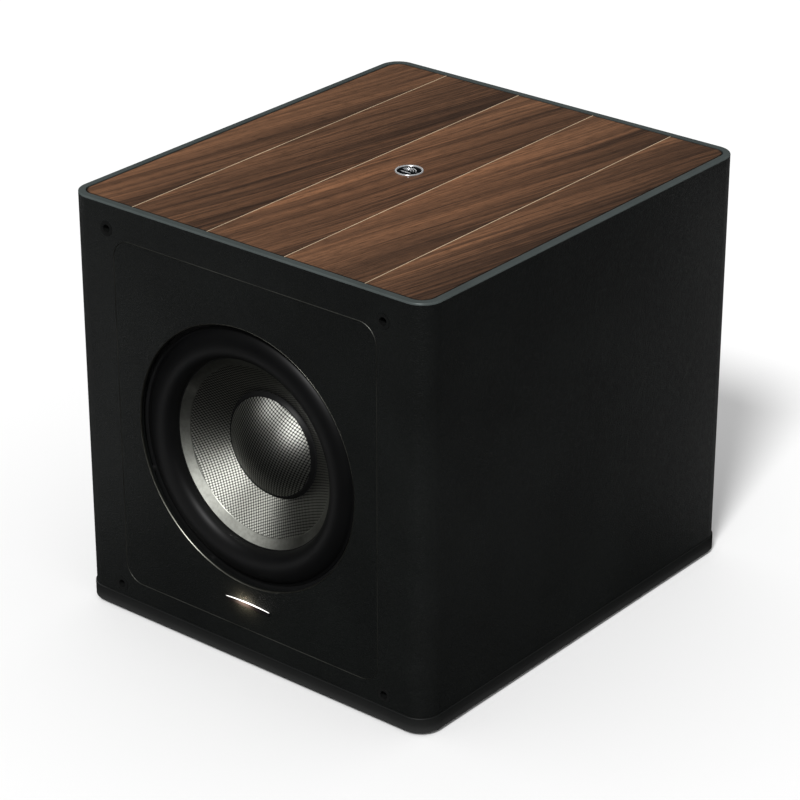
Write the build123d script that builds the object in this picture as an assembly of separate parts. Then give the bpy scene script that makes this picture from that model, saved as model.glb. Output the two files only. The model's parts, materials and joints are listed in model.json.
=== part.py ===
from build123d import *
import math
import os

# Powered subwoofer with one front-firing 250 mm (10-inch) driver, a leather-wrapped sealed
# cabinet, a walnut top and an amplifier recessed in the back. Millimetres.
# Frame: origin on the floor under the middle of the cabinet, +Z up, the driver faces -Y.

# ---- cabinet ----
CAB_W = 390.0            # leather to leather, across
CAB_D = 438.0            # leather to leather, front to back
TOP_Z = 394.0            # top of the rim above the floor
FOOT_H = 3.0             # rubber foot below the plinth
PLINTH_H = 14.0
PLINTH_PROUD = 1.2       # plinth beyond the leather
CORNER_R = 19.5          # vertical corners of the cabinet
LEATHER = 1.2
SIDE_T = 18.0
BAFFLE_T = 25.0
RIM_W = 6.4
RIM_H = 5.0
BRACE_T = 18.0
FELT_T = 10.0

# ---- top ----
WOOD_W = 375.2           # planked field, across
WOOD_D = 423.2
WOOD_R = 12.2
WOOD_T = 3.2
WOOD_TOP = 393.6
INLAY_W = 0.8
INLAY_X = (-127.0, -42.3, 42.3, 127.0)
BADGE_R = 12.5
BADGE_RING_W = 1.9

# ---- front ----
PANEL_W = 288.6          # inset front panel
PANEL_H = 328.0
PANEL_R = 18.0
PANEL_Z = 199.3
PANEL_T = 4.0
SEAM = 0.5
SOCKET_X = 151.5         # grille sockets
SOCKET_Z = (27.6, 370.0)
SOCKET_FLANGE_R = 6.5
SOCKET_R = 5.6
SOCKET_BORE_R = 3.75
SOCKET_BORE_L = 14.0
BAR_L = 50.0             # light bar
BAR_H = 5.0
BAR_Z = 59.8
BAR_PROUD = 1.2
LENS_H = 1.8

# ---- driver: radii and depths behind the front plane ----
DRIVER_Z = 199.3
CUTOUT_R = 120.0
FLANGE_R = 128.0
FLANGE_D = 6.6
FLANGE_T = 4.0
GASKET_T = 1.4
SCREW_PCD_R = 123.8
SURROUND_R = 116.7
SURROUND_D = 5.5
ROLL_C = (101.5, 13.2)   # centre of the half roll: radius, depth
ROLL_R = 13.2
SURROUND_T = 1.0
CONE_R = 88.8            # outer edge of the cone
CONE_D = 11.6
CONE_SLOPE = 0.63        # depth gained per millimetre of radius
CONE_T = 1.2
BAND_R = 78.2            # smooth band from here to the surround lip
LIP_R = 86.0
NECK_R = 25.5
CAP_R = 45.6
CAP_RIM_R = 51.5
CAP_D = 33.2
CAP_RISE = 13.6
CAP_T = 0.8
FORMER_R = 25.4
FORMER_T = 0.4
FORMER_END = 94.5
COIL_T = 1.2
COIL_D = (70.0, 94.0)
SPIDER_D = 62.0
SPIDER_R = 76.0
GAP_PLATE_D = (78.0, 86.0)
MAGNET_D = 106.0
YOKE_D = 114.0
MAGNET_R = 70.0
POLE_R = 24.2
PLATE_R = 62.0
VENT_R = 8.0
TRAVEL = 10.0            # cone travel each way

# ---- amplifier ----
AMP_W = 204.0
AMP_H = 264.0
AMP_Z = 199.3
AMP_R = 7.0
AMP_Y = 207.0            # inner face of the amplifier plate
AMP_T = 3.0
RECESS_FLOOR = 206.0
RECESS_GAP = 1.0
AMP_HOLE_W = 184.0
AMP_HOLE_H = 244.0
KNOB_X = (-62.0, -20.0)
CONTROL_Z = 212.0
KNOB_R = 9.0
KNOB_Y = (212.0, 218.4)
SHAFT_R = 3.0
SHAFT_FIT = 0.05
SWITCH_X = (22.0, 62.0)
SLIDE_TRAVEL = 4.0
RCA_X = (-72.0, -52.0)
RCA_Z = (150.0, 172.0)
RCA_R = 4.15
INLET_X = 48.0
INLET_Z = 112.0
ROCKER_X = -16.0
ROCKER_Z = 112.0
ROCKER_Y = 206.0
ROCKER_R = 10.0
ROCKER_W = 12.0
ROCKER_TILT = 7.0
FUSE_Z = 96.5
SINK_Z = (230.0, 318.0)

FRONT_Y = -CAB_D / 2
BACK_Y = CAB_D / 2
BODY_Z = FOOT_H + PLINTH_H
RIM_Z = TOP_Z - RIM_H
LIP_Z = TOP_Z - 1.8
CARC_W = CAB_W - 2 * LEATHER
CARC_D = CAB_D - 2 * LEATHER
CARC_FRONT = -CARC_D / 2
CARC_BACK = CARC_D / 2
BAFFLE_BACK = CARC_FRONT + BAFFLE_T
BACK_PANEL_Y = CARC_BACK - SIDE_T
INNER_W = CARC_W - 2 * SIDE_T
REBATE_Y = FRONT_Y + PANEL_T


def rounded_prism(w, d, r, z0, z1):
    return Pos(0, 0, z0) * extrude(RectangleRounded(w, d, r), z1 - z0)


def block(x0, x1, y0, y1, z0, z1):
    size = Box(x1 - x0, y1 - y0, z1 - z0)
    return Pos((x0 + x1) / 2, (y0 + y1) / 2, (z0 + z1) / 2) * size


def slab_y(sketch, y0, y1, x=0.0, z=0.0):
    return Pos(x, y1, z) * Rot(90, 0, 0) * extrude(sketch, y1 - y0)


def rod_y(r, y0, y1, x=0.0, z=DRIVER_Z):
    return Pos(x, (y0 + y1) / 2, z) * Rot(90, 0, 0) * Cylinder(r, y1 - y0)


def ring_y(r_out, r_in, y0, y1, x=0.0, z=DRIVER_Z):
    return rod_y(r_out, y0, y1, x, z) - rod_y(r_in, y0 - 1, y1 + 1, x, z)


def rod_z(r, z0, z1, x, y):
    return Pos(x, y, (z0 + z1) / 2) * Cylinder(r, z1 - z0)


def turned(points):
    """Solid of revolution about the driver axis from (radius, depth) points."""
    wire = Wire.make_polygon([(r, d, 0) for r, d in points], close=True)
    return Pos(0, FRONT_Y, DRIVER_Z) * revolve(Face(wire), Axis.Y, 360)


def on_circle(radius, count, start=0.0):
    angles = [math.radians(start + 360.0 * i / count) for i in range(count)]
    return [(radius * math.cos(a), radius * math.sin(a)) for a in angles]


def cone_depth(r):
    return CONE_D + (CONE_R - r) * CONE_SLOPE


# ---- cabinet ----
def carcass_outline(z0, z1):
    return rounded_prism(CARC_W, CARC_D, CORNER_R - LEATHER, z0, z1)


def base_plinth():
    w = CAB_W + 2 * PLINTH_PROUD
    d = CAB_D + 2 * PLINTH_PROUD
    body = rounded_prism(w, d, CORNER_R + PLINTH_PROUD, FOOT_H, BODY_Z)
    rims = body.edges().filter_by(lambda e: abs(e.center().Z - FOOT_H) < 0.01)
    rims += body.edges().filter_by(lambda e: abs(e.center().Z - BODY_Z) < 0.01)
    body = fillet(rims, 0.8)
    for x, y in foot_places():
        body -= rod_z(2.3, FOOT_H - 1, BODY_Z - 2.0, x, y)
    return body


def foot_places():
    return [(sx * 158.0, sy * 180.0) for sx in (-1, 1) for sy in (-1, 1)]


def rubber_feet():
    feet = Part()
    for x, y in foot_places():
        foot = Pos(x, y, FOOT_H / 2) * Cone(17.0, 18.5, FOOT_H)
        foot -= rod_z(2.6, -1, FOOT_H + 1, x, y)
        foot -= rod_z(5.2, -1, 1.6, x, y)
        feet += foot
    return feet


def foot_screws():
    screws = Part()
    for x, y in foot_places():
        head = rod_z(4.8, 0.6, 1.6, x, y)
        slot = Pos(x, y, 0.7) * (Box(6.0, 1.1, 0.6) + Box(1.1, 6.0, 0.6))
        screws += head - slot + rod_z(2.2, 1.6, BODY_Z - 3.0, x, y)
    return screws


def side_panel(side):
    x0, x1 = sorted((side * INNER_W / 2, side * CARC_W / 2))
    board = block(x0, x1, BAFFLE_BACK, BACK_PANEL_Y, BODY_Z, RIM_Z)
    return board & carcass_outline(BODY_Z, RIM_Z)


def bottom_board():
    return block(-INNER_W / 2, INNER_W / 2, BAFFLE_BACK, BACK_PANEL_Y, BODY_Z, BODY_Z + SIDE_T)


def top_board():
    return block(-INNER_W / 2, INNER_W / 2, BAFFLE_BACK, BACK_PANEL_Y, RIM_Z - SIDE_T, RIM_Z)


def socket_places():
    return [(sx * SOCKET_X, z) for sx in (-1, 1) for z in SOCKET_Z]


def front_baffle():
    board = block(-CARC_W / 2, CARC_W / 2, CARC_FRONT, BAFFLE_BACK, BODY_Z, RIM_Z)
    board = board & carcass_outline(BODY_Z, RIM_Z)
    rebate = RectangleRounded(PANEL_W + 2 * SEAM, PANEL_H + 2 * SEAM, PANEL_R + SEAM)
    board -= slab_y(rebate, CARC_FRONT - 1, REBATE_Y, 0, PANEL_Z)
    seat = FRONT_Y + FLANGE_D + FLANGE_T + GASKET_T
    board -= rod_y(FLANGE_R + 0.3, CARC_FRONT - 1, seat)
    board -= rod_y(FLANGE_R - 9.0, CARC_FRONT - 1, BAFFLE_BACK + 1)
    for x, z in socket_places():
        board -= rod_y(SOCKET_R, CARC_FRONT - 1, CARC_FRONT + 16.0, x, z)
    for x, z in on_circle(SCREW_PCD_R, 8, 22.5):
        board -= rod_y(2.3, seat - 1, FRONT_Y + 24.5, x, DRIVER_Z + z)
    # two stiles, two rails and four corner blocks that leave the driver's hole between them
    x0, z0, z1 = 133.0, DRIVER_Z - 133.0, DRIVER_Z + 133.0
    far, y0, y1 = CARC_W, CARC_FRONT - 5, BAFFLE_BACK + 5
    cells = [(-far, -x0, -9, 500), (x0, far, -9, 500), (-x0, x0, -9, z0), (-x0, x0, z1, 500),
             (-x0, 0, z0, DRIVER_Z), (0, x0, z0, DRIVER_Z), (-x0, 0, DRIVER_Z, z1), (0, x0, DRIVER_Z, z1)]
    pieces = []
    for left, right, low, high in cells:
        pieces += (board & block(left, right, y0, y1, low, high)).solids()
    return Compound(children=pieces)


def back_panel():
    board = block(-CARC_W / 2, CARC_W / 2, BACK_PANEL_Y, CARC_BACK, BODY_Z, RIM_Z)
    board = board & carcass_outline(BODY_Z, RIM_Z)
    recess = RectangleRounded(AMP_W + 2 * RECESS_GAP, AMP_H + 2 * RECESS_GAP, AMP_R + RECESS_GAP)
    board -= slab_y(recess, RECESS_FLOOR, CARC_BACK + 1, 0, AMP_Z)
    hole = RectangleRounded(AMP_HOLE_W, AMP_HOLE_H, 4)
    board -= slab_y(hole, BACK_PANEL_Y - 1, CARC_BACK, 0, AMP_Z)
    for x, z in amp_screw_places():
        board -= rod_y(1.7, BACK_PANEL_Y + 1.0, RECESS_FLOOR + 1, x, z)
    return board


def internal_brace():
    z0, z1 = BODY_Z + SIDE_T, RIM_Z - SIDE_T
    board = block(-INNER_W / 2, INNER_W / 2, 30.0, 30.0 + BRACE_T, z0, z1)
    window = RectangleRounded(INNER_W - 110.0, z1 - z0 - 100.0, 30.0)
    return board - slab_y(window, 29.0, 31.0 + BRACE_T, 0, (z0 + z1) / 2)


def damping_felt():
    z0, z1 = BODY_Z + SIDE_T + 6, RIM_Z - SIDE_T - 6
    felt = Part()
    for y0, y1 in ((BAFFLE_BACK + 8, 28.0), (50.0, 150.0)):
        for side in (-1, 1):
            x0, x1 = sorted((side * (INNER_W / 2 - FELT_T), side * INNER_W / 2))
            felt += block(x0, x1, y0, y1, z0, z1)
    return felt


def leather_wrap():
    z0 = BODY_Z + 0.2
    skin = rounded_prism(CAB_W, CAB_D, CORNER_R, z0, LIP_Z)
    skin -= carcass_outline(z0 - 1, LIP_Z + 1)
    opening = RectangleRounded(PANEL_W + 2 * SEAM, PANEL_H + 2 * SEAM, PANEL_R + SEAM)
    skin -= slab_y(opening, FRONT_Y - 1, CARC_FRONT + 1, 0, PANEL_Z)
    for x, z in socket_places():
        skin -= rod_y(SOCKET_FLANGE_R + 0.1, FRONT_Y - 1, CARC_FRONT + 1, x, z)
    recess = RectangleRounded(AMP_W + 2 * RECESS_GAP, AMP_H + 2 * RECESS_GAP, AMP_R + RECESS_GAP)
    skin -= slab_y(recess, CARC_BACK - 1, BACK_Y + 1, 0, AMP_Z)
    return skin


def top_trim_frame():
    rim = rounded_prism(CAB_W, CAB_D, CORNER_R, LIP_Z, TOP_Z)
    rim = fillet(rim.edges().group_by(Axis.Z)[-1], 1.0)
    rim += carcass_outline(RIM_Z, LIP_Z)
    w, d = CAB_W - 2 * RIM_W, CAB_D - 2 * RIM_W
    return rim - rounded_prism(w, d, CORNER_R - RIM_W, RIM_Z - 1, TOP_Z + 1)


# ---- top ----
def plank_field(z0, z1):
    return rounded_prism(WOOD_W, WOOD_D, WOOD_R, z0, z1)


def veneer_carrier():
    z1 = WOOD_TOP - WOOD_T
    return plank_field(RIM_Z, z1)


def plank(index):
    edges = [-WOOD_W / 2, *INLAY_X, WOOD_W / 2]
    x0 = edges[index] + (INLAY_W / 2 if index > 0 else 0)
    x1 = edges[index + 1] - (INLAY_W / 2 if index < 4 else 0)
    z0 = WOOD_TOP - WOOD_T
    board = block(x0, x1, -WOOD_D / 2, WOOD_D / 2, z0, WOOD_TOP) & plank_field(z0, WOOD_TOP)
    if index == 2:
        board -= rod_z(BADGE_R + 0.1, z0 - 1, WOOD_TOP + 1, 0, 0)
    return board


def walnut_planks():
    planks = Part()
    for index in range(5):
        planks += plank(index)
    return planks


def inlay_strips():
    strips = Part()
    z0 = WOOD_TOP - WOOD_T
    for x in INLAY_X:
        strips += block(x - INLAY_W / 2, x + INLAY_W / 2, -WOOD_D / 2, WOOD_D / 2, z0, WOOD_TOP)
    return strips


def badge_ring():
    z0 = WOOD_TOP - WOOD_T
    ring = rod_z(BADGE_R, z0, WOOD_TOP + 0.9, 0, 0)
    ring = fillet(ring.edges().group_by(Axis.Z)[-1], 0.5)
    return ring - rod_z(BADGE_R - BADGE_RING_W, z0 - 1, WOOD_TOP + 2, 0, 0)


def badge_disc():
    z0 = WOOD_TOP - WOOD_T
    return rod_z(BADGE_R - BADGE_RING_W, z0, WOOD_TOP + 0.1, 0, 0)


def badge_motif():
    """Three rising wave crests in low relief, a plain ornament."""
    z0, z1 = WOOD_TOP + 0.1, WOOD_TOP + 0.6
    motif = Part()
    for r, y in ((7.6, -3.2), (5.2, -3.2), (2.8, -3.2)):
        arch = rod_z(r, z0, z1, 0, y) - rod_z(r - 1.1, z0 - 1, z1 + 1, 0, y)
        motif += arch & block(-9, 9, y, 9, z0, z1)
    return motif + block(-7.6, 7.6, -6.0, -4.8, z0, z1)


# ---- front ----
def front_panel():
    outline = RectangleRounded(PANEL_W, PANEL_H, PANEL_R)
    board = slab_y(outline, FRONT_Y, REBATE_Y, 0, PANEL_Z)
    board = fillet(board.edges().group_by(Axis.Y)[0], 0.5)
    board -= rod_y(CUTOUT_R, FRONT_Y - 1, REBATE_Y + 1)
    lip = board.edges().filter_by(GeomType.CIRCLE).group_by(Axis.Y)[0]
    lip = lip.filter_by(lambda e: abs(e.radius - CUTOUT_R) < 0.1)
    board = fillet(lip, 0.8)
    slot = Rectangle(BAR_L - 2.0, 2.4)
    return board - slab_y(slot, FRONT_Y - 1, REBATE_Y + 1, 0, BAR_Z - 0.9)


def light_bar():
    """Plinth of the light bar with a tongue through the front panel."""
    y0 = FRONT_Y - BAR_PROUD
    top = BAR_Z + BAR_H / 2 - LENS_H
    bar = block(-BAR_L / 2, BAR_L / 2, y0, FRONT_Y, BAR_Z - BAR_H / 2, top)
    tongue = block(-BAR_L / 2 + 1.2, BAR_L / 2 - 1.2, FRONT_Y, REBATE_Y, BAR_Z - 2.0, BAR_Z + 0.2)
    return bar + tongue


def light_lens():
    """Clear strip with a sloped upper face, lit from behind."""
    z0 = BAR_Z + BAR_H / 2 - LENS_H
    profile = Wire.make_polygon(
        [(0, FRONT_Y - BAR_PROUD, z0), (0, FRONT_Y, z0), (0, FRONT_Y, z0 + LENS_H),
         (0, FRONT_Y - 0.3, z0 + LENS_H), (0, FRONT_Y - BAR_PROUD, z0 + LENS_H - 0.9)], close=True)
    return Pos(-BAR_L / 2, 0, 0) * extrude(Face(profile), BAR_L, dir=(1, 0, 0))


def grille_sockets():
    sockets = Part()
    for x, z in socket_places():
        y0 = FRONT_Y - 0.3
        body = rod_y(SOCKET_FLANGE_R, y0, CARC_FRONT, x, z)
        body += rod_y(SOCKET_R, CARC_FRONT, CARC_FRONT + 15.0, x, z)
        sockets += body - rod_y(SOCKET_BORE_R, y0 - 1, y0 + SOCKET_BORE_L, x, z)
    return sockets


# ---- driver ----
def driver_basket():
    """Cast frame: screw flange, six legs, spider landing and motor seat."""
    y_flange = FRONT_Y + FLANGE_D
    wall = turned([(112, 10.4), (118, 10.4), (83, 66), (68, 78), (58, 78), (58, 74), (77, 63)])
    spokes = Part()
    for x, z in on_circle(85.0, 6):
        angle = math.degrees(math.atan2(z, x))
        bar = Pos(x, FRONT_Y + 44.0, DRIVER_Z + z) * Rot(0, -angle, 0) * Box(72, 72, 15)
        spokes += bar
    basket = wall & spokes
    basket += ring_y(FLANGE_R, 110.0, y_flange, y_flange + FLANGE_T)
    basket += ring_y(81.0, 68.0, FRONT_Y + SPIDER_D + 0.5, FRONT_Y + SPIDER_D + 4.5)
    basket += ring_y(67.0, 35.0, FRONT_Y + 74.0, FRONT_Y + GAP_PLATE_D[0])
    for x, z in on_circle(SCREW_PCD_R, 8, 22.5):
        basket -= rod_y(2.7, y_flange - 1, y_flange + FLANGE_T + 1, x, DRIVER_Z + z)
    return basket


def driver_gasket():
    y0 = FRONT_Y + FLANGE_D + FLANGE_T
    gasket = ring_y(FLANGE_R, FLANGE_R - 8.4, y0, y0 + GASKET_T)
    for x, z in on_circle(SCREW_PCD_R, 8, 22.5):
        gasket -= rod_y(2.7, y0 - 1, y0 + GASKET_T + 1, x, DRIVER_Z + z)
    return gasket


def driver_screws():
    """Pan-head wood screws, hidden under the edge of the front panel."""
    screws = Part()
    y0 = FRONT_Y + FLANGE_D
    for x, z in on_circle(SCREW_PCD_R, 8, 22.5):
        head = rod_y(3.9, y0 - 2.3, y0, x, DRIVER_Z + z)
        head -= slab_y(Rectangle(4.4, 1.0), y0 - 3, y0 - 1.2, x, DRIVER_Z + z)
        head -= slab_y(Rectangle(1.0, 4.4), y0 - 3, y0 - 1.2, x, DRIVER_Z + z)
        screws += head + rod_y(2.2, y0, FRONT_Y + 23.5, x, DRIVER_Z + z)
    return screws


def roll_arc(radius, angle0, angle1):
    r0, d0 = ROLL_C
    points = []
    for a in (angle0, (angle0 + angle1) / 2, angle1):
        t = math.radians(a)
        points.append((r0 + radius * math.cos(t), d0 - radius * math.sin(t), 0))
    return ThreePointArc(*points)


def surround():
    """Rubber half roll with an outer flange and a thin inner lip on the cone."""
    inner_r = ROLL_R - SURROUND_T
    flange_back = SURROUND_D + 1.0
    a_front = math.degrees(math.asin((ROLL_C[1] - SURROUND_D) / ROLL_R))
    a_back = math.degrees(math.asin((ROLL_C[1] - flange_back) / inner_r))
    front = roll_arc(ROLL_R, a_front, 170.0)
    back = roll_arc(inner_r, a_back, 170.0)
    lip_front = cone_depth(LIP_R) - 1.1
    lip_back = cone_depth(LIP_R) - 0.35
    p_front, p_back = front @ 1, back @ 1
    edges = [front, back]
    edges.append(Line(front @ 0, (SURROUND_R, SURROUND_D, 0)))
    edges.append(Line((SURROUND_R, SURROUND_D, 0), (SURROUND_R, flange_back, 0)))
    edges.append(Line((SURROUND_R, flange_back, 0), back @ 0))
    edges.append(Line(p_front, (LIP_R, lip_front, 0)))
    edges.append(Line((LIP_R, lip_front, 0), (LIP_R, lip_back, 0)))
    edges.append(Line((LIP_R, lip_back, 0), p_back))
    return Pos(0, FRONT_Y, DRIVER_Z) * revolve(Face(Wire(edges)), Axis.Y, 360)


def cone():
    return turned([(CONE_R, CONE_D), (NECK_R, cone_depth(NECK_R)),
                   (NECK_R, cone_depth(NECK_R) + CONE_T), (CONE_R, CONE_D + CONE_T)])


def cone_edge_band():
    outer, t = LIP_R - 0.4, 0.45
    return turned([(outer, cone_depth(outer) - t), (BAND_R, cone_depth(BAND_R) - t),
                   (BAND_R, cone_depth(BAND_R) - 0.02), (outer, cone_depth(outer) - 0.02)])


def cap_arc(rise, base_r, base_d):
    return ThreePointArc(*[(r, base_d - rise + arc_drop(r, rise, base_r), 0)
                           for r in (0.0, base_r * 0.55, base_r)])


def arc_drop(r, rise, base_r):
    big = (base_r ** 2 + rise ** 2) / (2 * rise)
    return big - math.sqrt(big ** 2 - r ** 2)


def dust_cap():
    """Shallow dome with a flat glue rim that rests on the cone."""
    front = cap_arc(CAP_RISE, CAP_R, CAP_D)
    back = cap_arc(CAP_RISE, CAP_R - 1.0, CAP_D + CAP_T)
    rim_d = cone_depth(CAP_RIM_R) - 0.05
    edges = [front, back]
    edges.append(Line(front @ 1, (CAP_RIM_R, rim_d - 0.7, 0)))
    edges.append(Line((CAP_RIM_R, rim_d - 0.7, 0), (CAP_RIM_R, rim_d, 0)))
    edges.append(Line((CAP_RIM_R, rim_d, 0), back @ 1))
    edges.append(Line(front @ 0, back @ 0))
    return Pos(0, FRONT_Y, DRIVER_Z) * revolve(Face(Wire(edges)), Axis.Y, 360)


def voice_coil_former():
    y0 = FRONT_Y + cone_depth(NECK_R) - 2.0
    return ring_y(FORMER_R, FORMER_R - FORMER_T, y0, FRONT_Y + FORMER_END)


def voice_coil_winding():
    y0, y1 = FRONT_Y + COIL_D[0], FRONT_Y + COIL_D[1]
    return ring_y(FORMER_R + COIL_T, FORMER_R, y0, y1)


def spider():
    """Corrugated centring disc between the former and the basket."""
    waves, t = 5, 0.5
    r0, r1 = FORMER_R + 0.3, 66.0
    span = (r1 - r0) / (2 * waves)
    top, low = [], []
    for i in range(2 * waves + 1):
        d = SPIDER_D + (0.0 if i % 2 == 0 else (-2.6 if i % 4 == 1 else 2.6))
        top.append((r0 + i * span, d - t))
        low.append((r0 + i * span, d + t))
    top.append((SPIDER_R, SPIDER_D - t))
    low.append((SPIDER_R, SPIDER_D + t))
    return turned(top + low[::-1])


def top_plate():
    y0, y1 = FRONT_Y + GAP_PLATE_D[0], FRONT_Y + GAP_PLATE_D[1]
    return ring_y(PLATE_R, FORMER_R + COIL_T + 0.7, y0, y1)


def magnet():
    return ring_y(MAGNET_R, 34.0, FRONT_Y + GAP_PLATE_D[1], FRONT_Y + MAGNET_D)


def back_plate_pole():
    yoke = rod_y(PLATE_R, FRONT_Y + MAGNET_D, FRONT_Y + YOKE_D)
    yoke += rod_y(POLE_R, FRONT_Y + GAP_PLATE_D[0] - 1.0, FRONT_Y + MAGNET_D)
    return yoke - rod_y(VENT_R, FRONT_Y + 60.0, FRONT_Y + YOKE_D + 1)


def magnet_boot():
    y0 = FRONT_Y + GAP_PLATE_D[1] + 1.0
    y1 = FRONT_Y + YOKE_D
    boot = ring_y(MAGNET_R + 3.0, MAGNET_R + 0.2, y0, y1)
    return boot + ring_y(MAGNET_R + 3.0, VENT_R + 2.0, y1, y1 + 2.6)


def terminal_block():
    y0 = FRONT_Y + SPIDER_D + 0.5
    z0 = DRIVER_Z + 81.0
    body = block(-14, 14, y0 - 3.0, y0 + 6.0, z0, z0 + 4.0)
    for x in (-8.0, 8.0):
        body += block(x - 2.4, x + 2.4, y0 - 9.0, y0 - 3.0, z0 + 1.5, z0 + 2.3)
    return body


# ---- amplifier ----
def amp_screw_places():
    w, h = AMP_W / 2 - 6.0, AMP_H / 2 - 6.0
    rows = [(sx * w, sz * h) for sx in (-1, 1) for sz in (-1, 0, 1)]
    rows += [(0.0, h), (0.0, -h)]
    return [(x, AMP_Z + z) for x, z in rows]


def rca_places():
    return [(x, z) for x in RCA_X for z in RCA_Z]


def amp_plate():
    plate = slab_y(RectangleRounded(AMP_W, AMP_H, AMP_R), AMP_Y, AMP_Y + AMP_T, 0, AMP_Z)
    plate = fillet(plate.edges().group_by(Axis.Y)[-1], 0.8)
    y0, y1 = AMP_Y - 1, AMP_Y + AMP_T + 1
    for x, z in amp_screw_places():
        plate -= rod_y(1.9, y0, y1, x, z)
    for x in KNOB_X:
        plate -= rod_y(4.5, y0, y1, x, CONTROL_Z)
    for x in SWITCH_X:
        plate -= slab_y(RectangleRounded(10.0, 6.0, 0.8), y0, y1, x, CONTROL_Z)
    for x, z in rca_places():
        plate -= rod_y(5.1, y0, y1, x, z)
    plate -= slab_y(RectangleRounded(28.0, 46.0, 1.0), y0, y1, INLET_X, INLET_Z - 4.0)
    plate -= slab_y(Rectangle(15.6, 23.6), y0, y1, ROCKER_X, ROCKER_Z)
    plate -= rod_y(2.6, y0, y1, 0, 272.0)
    plate -= rod_y(1.6, y0, y1, 84.0, CONTROL_Z)
    return plate


def amp_gasket():
    outer = RectangleRounded(AMP_W, AMP_H, AMP_R)
    seal = slab_y(outer, RECESS_FLOOR, AMP_Y, 0, AMP_Z)
    seal -= slab_y(RectangleRounded(AMP_HOLE_W, AMP_HOLE_H, 4), RECESS_FLOOR - 1, AMP_Y + 1, 0, AMP_Z)
    for x, z in amp_screw_places():
        seal -= rod_y(1.9, RECESS_FLOOR - 1, AMP_Y + 1, x, z)
    return seal


def amp_screws():
    screws = Part()
    y = AMP_Y + AMP_T
    for x, z in amp_screw_places():
        head = rod_y(3.4, y, y + 1.9, x, z)
        head -= slab_y(Rectangle(4.0, 0.9), y + 0.9, y + 3, x, z)
        head -= slab_y(Rectangle(0.9, 4.0), y + 0.9, y + 3, x, z)
        screws += head + rod_y(1.6, BACK_PANEL_Y + 2.0, y, x, z)
    return screws


def heat_sink():
    """Finned aluminium radiator on the upper part of the plate."""
    y0 = AMP_Y + AMP_T
    z0, z1 = SINK_Z
    sink = block(-78, 78, y0, y0 + 2.0, z0, z1)
    for i in range(20):
        x = -76.0 + 8.0 * i
        sink += block(x - 1.0, x + 1.0, y0 + 2.0, y0 + 8.4, z0, z1)
    return sink - rod_y(5.2, y0 - 1, y0 + 9, 0, 272.0)


def knob(x):
    """Knob with its shaft: grip, pointer groove and hollow underside over the nut."""
    y0, y1 = KNOB_Y
    grip = rod_y(KNOB_R, y0, y1, x, CONTROL_Z)
    grip = fillet(grip.edges().group_by(Axis.Y)[-1], 0.8)
    for gx, gz in on_circle(KNOB_R + 0.25, 24):
        grip -= rod_y(0.6, y0 - 1, y1 - 1.0, x + gx, CONTROL_Z + gz)
    grip -= block(x - 0.5, x + 0.5, y1 - 0.5, y1 + 1, CONTROL_Z + 2.5, CONTROL_Z + KNOB_R + 1)
    return grip + rod_y(SHAFT_R, 196.0, y0, x, CONTROL_Z)


def potentiometers():
    pots = Part()
    for x in KNOB_X:
        body = block(x - 8.5, x + 8.5, 194.0, AMP_Y, CONTROL_Z - 8.5, CONTROL_Z + 8.5)
        body += rod_y(4.4, AMP_Y, 211.6, x, CONTROL_Z)
        pots += body - rod_y(SHAFT_R + SHAFT_FIT, 195.6, 213, x, CONTROL_Z)
    return pots


def switch_bodies():
    bodies = Part()
    for x in SWITCH_X:
        body = block(x - 8.0, x + 8.0, 195.0, AMP_Y, CONTROL_Z - 5.0, CONTROL_Z + 5.0)
        bodies += body - block(x - 5.0, x + 5.0, 199.0, AMP_Y + 1, CONTROL_Z - 3.0, CONTROL_Z + 3.0)
    return bodies


def slider(x):
    stem = block(x - 2.0, x + 2.0, 199.4, 212.6, CONTROL_Z - 2.7, CONTROL_Z + 2.7)
    for i in (-1, 0, 1):
        stem -= block(x + i * 1.2 - 0.2, x + i * 1.2 + 0.2, 212.2, 213, CONTROL_Z - 3, CONTROL_Z + 3)
    return stem


def status_led():
    x = 84.0
    lens = rod_y(1.5, 200.0, AMP_Y + AMP_T + 0.6, x, CONTROL_Z)
    return lens + rod_y(2.2, 200.0, AMP_Y, x, CONTROL_Z)


def rca_shells():
    shells = Part()
    y0 = AMP_Y + AMP_T
    for x, z in rca_places():
        shell = ring_y(RCA_R, 3.4, y0, y0 + 8.0, x, z)
        shell += ring_y(5.9, 3.4, y0, y0 + 1.2, x, z)
        shells += shell
    return shells


def rca_insulators():
    cores = Part()
    y0 = AMP_Y + AMP_T
    for x, z in rca_places():
        core = rod_y(3.4, y0, y0 + 6.6, x, z) + rod_y(5.0, 194.0, y0, x, z)
        cores += core - rod_y(1.65, y0 - 2.0, y0 + 8, x, z)
    return cores


def mains_inlet():
    """Three-pin inlet with a fuse slot below it."""
    x, z, y0 = INLET_X, INLET_Z, AMP_Y + AMP_T
    body = slab_y(RectangleRounded(27.4, 45.4, 0.8), 178.0, y0, x, z - 4.0)
    body += slab_y(RectangleRounded(32.0, 50.0, 2.0), y0, y0 + 2.4, x, z - 4.0)
    mouth = Rectangle(24.4, 16.8)
    mouth = chamfer(mouth.vertices().group_by(Axis.Y)[-1], 4.0)
    body -= slab_y(mouth, y0 - 14.6, y0 + 3, x, z)
    return body - block(x - 10.2, x + 10.2, 185.0, y0 + 3, FUSE_Z - 3.2, FUSE_Z + 3.2)


def inlet_pins():
    pins = Part()
    y0 = AMP_Y + AMP_T
    for dx, dz in ((-7.0, -2.0), (0.0, 2.0), (7.0, -2.0)):
        pins += block(INLET_X + dx - 1.0, INLET_X + dx + 1.0, y0 - 14.6, y0 - 3.4,
                      INLET_Z + dz - 2.0, INLET_Z + dz + 2.0)
    return pins


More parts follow.
